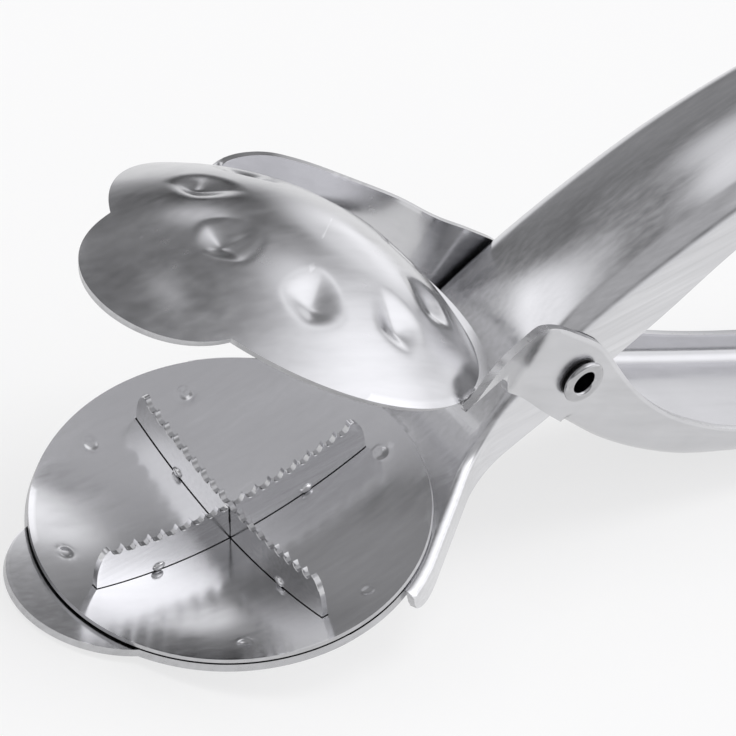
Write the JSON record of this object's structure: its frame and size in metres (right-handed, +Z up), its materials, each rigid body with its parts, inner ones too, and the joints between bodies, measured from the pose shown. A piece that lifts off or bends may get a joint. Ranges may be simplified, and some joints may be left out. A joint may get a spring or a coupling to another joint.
{
  "type": "chestnut cutter",
  "caption": "Hand tool of two crossed pressed-steel levers: a dimpled dome closes on a dish with crossed saw blades to score a chestnut",
  "frame": {"origin": "centre of the bounding box in plan, on the surface that the tool stands on", "axes": "+X from the handles to the jaws, +Y along the pivot to the left of the tool, +Z up"},
  "size_m": [0.1776, 0.0562, 0.0814],
  "materials": {
    "lower_lever_steel": "brushed along the handle, satin",
    "upper_lever_steel": "polished dome, finely brushed ears and handle",
    "dish_steel": "polished, nearly mirror bright",
    "cross_blade_steel": "bright punched strip",
    "long_blade_steel": "bright punched strip",
    "rivet_steel": "bright rolled tube"
  },
  "bodies": {
    "lower_jaw": {"lower_jaw_lever": "lower_lever_steel", "blade_dish": "dish_steel", "cross_blade": "cross_blade_steel", "long_blade": "long_blade_steel", "pivot_rivet": "rivet_steel"},
    "upper_jaw": {"upper_jaw_lever": "upper_lever_steel"}
  },
  "joints": [
    {"name": "squeeze", "type": "hinge", "parent": "lower_jaw", "child": "upper_jaw", "pos_m": [0.00839, 0, 0.03173], "axis": [0, 1, 0], "range_deg": [0, 36]}
  ]
}
